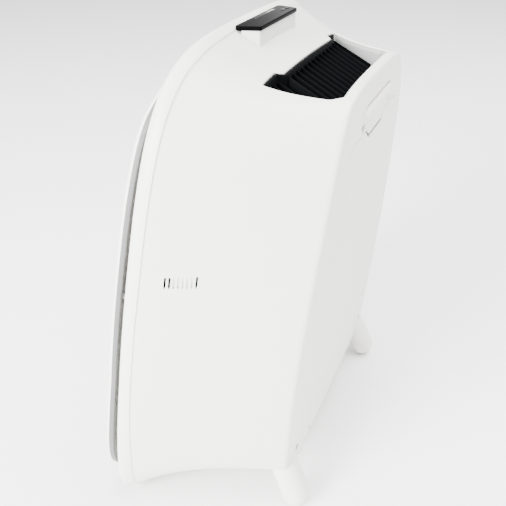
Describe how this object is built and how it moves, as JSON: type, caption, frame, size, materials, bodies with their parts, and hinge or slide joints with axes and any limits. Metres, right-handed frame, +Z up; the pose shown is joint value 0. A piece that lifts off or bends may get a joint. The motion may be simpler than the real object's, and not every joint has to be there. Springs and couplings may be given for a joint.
{
  "type": "dehumidifier",
  "caption": "Wide leaning floor dehumidifier with floating front cover, top air outlet with fins, control pod, rear water tank, flip-out handle and peg legs.",
  "frame": {"origin": "centre of the bounding box at floor level", "axes": "+Z up; the floating front cover faces -Y; the tank, handle and peg legs are at +Y; X is the width, and the small sensor slots are in the +X side"},
  "size_m": [0.456, 0.2308, 0.5012],
  "materials": {
    "shell_white": "fine matte",
    "front_white": "fine matte",
    "gloss_black": "gloss",
    "dark_plastic": "matte",
    "mid_grey": "matte",
    "light_grey": "matte",
    "rubber": "matte",
    "steel": "zinc plated",
    "alu": "milled",
    "copper": "drawn",
    "painted": "satin",
    "pcb": "satin",
    "tank": "satin",
    "float": "matte"
  },
  "bodies": {
    "housing": {"housing_top": "shell_white", "housing_left": "shell_white", "housing_right": "shell_white", "housing_base": "shell_white", "front_shell": "front_white", "intake_grille": "dark_plastic", "control_pod": "shell_white", "control_slab": "gloss_black", "display_window": "gloss_black", "control_board": "pcb", "outlet_duct": "light_grey", "outlet_fins": "dark_plastic", "evaporator": "alu", "condenser": "alu", "refrigerant_pipes": "copper", "filter_drier": "copper", "compressor": "painted", "compressor_mounts": "rubber", "compressor_terminal_cover": "dark_plastic", "fan_scroll": "dark_plastic", "fan_motor": "steel", "drip_tray": "light_grey", "base_plate": "steel", "tank_rails": "mid_grey", "handle_pocket": "shell_white", "drain_port": "mid_grey", "power_inlet": "dark_plastic", "main_board": "pcb", "run_capacitor": "painted", "humidity_sensor": "pcb", "leg_left": "front_white", "leg_right": "front_white", "leg_brackets": "mid_grey", "leg_pads": "rubber", "front_pads": "rubber", "housing_screws": "steel", "leg_screws": "steel"},
    "cover": {"front_cover": "front_white", "cover_studs": "mid_grey", "air_filter": "mid_grey"},
    "tank": {"water_tank": "tank", "tank_lid": "light_grey"},
    "float": {"tank_float": "float"},
    "handle": {"carry_handle": "front_white"},
    "fan": {"fan_wheel": "dark_plastic"},
    "power_key": {"key_power": "dark_plastic"},
    "mode_key": {"key_mode": "dark_plastic"},
    "cap": {"drain_cap": "front_white"}
  },
  "joints": [
    {"name": "cover_pull", "type": "slide", "parent": "housing", "child": "cover", "axis": [0, -0.9917, 0.1288], "range_m": [0, 0.06]},
    {"name": "tank_slide", "type": "slide", "parent": "housing", "child": "tank", "axis": [0, 1, 0], "range_m": [0, 0.12]},
    {"name": "float_hinge", "type": "hinge", "parent": "tank", "child": "float", "pos_m": [-0.045, 0.075, 0.1585], "axis": [-1, 0, 0], "range_deg": [0, 15]},
    {"name": "handle_flip", "type": "hinge", "parent": "housing", "child": "handle", "pos_m": [0, 0.1031, 0.421], "axis": [-1, 0, 0], "range_deg": [0, 45]},
    {"name": "fan_spin", "type": "hinge", "parent": "housing", "child": "fan", "pos_m": [0.02, 0.03829, 0.30505], "axis": [0, 0.9917, -0.1288], "continuous": true},
    {"name": "power_key_press", "type": "slide", "parent": "housing", "child": "power_key", "axis": [0, 0, -1], "range_m": [0, 0.0008], "stiffness_N_per_m": 900, "springref_m": -0.0004},
    {"name": "mode_key_press", "type": "slide", "parent": "housing", "child": "mode_key", "axis": [0, 0, -1], "range_m": [0, 0.0008], "stiffness_N_per_m": 900, "springref_m": -0.0004},
    {"name": "drain_cap_pull", "type": "slide", "parent": "housing", "child": "cap", "axis": [0, 1, 0], "range_m": [0, 0.03]}
  ]
}
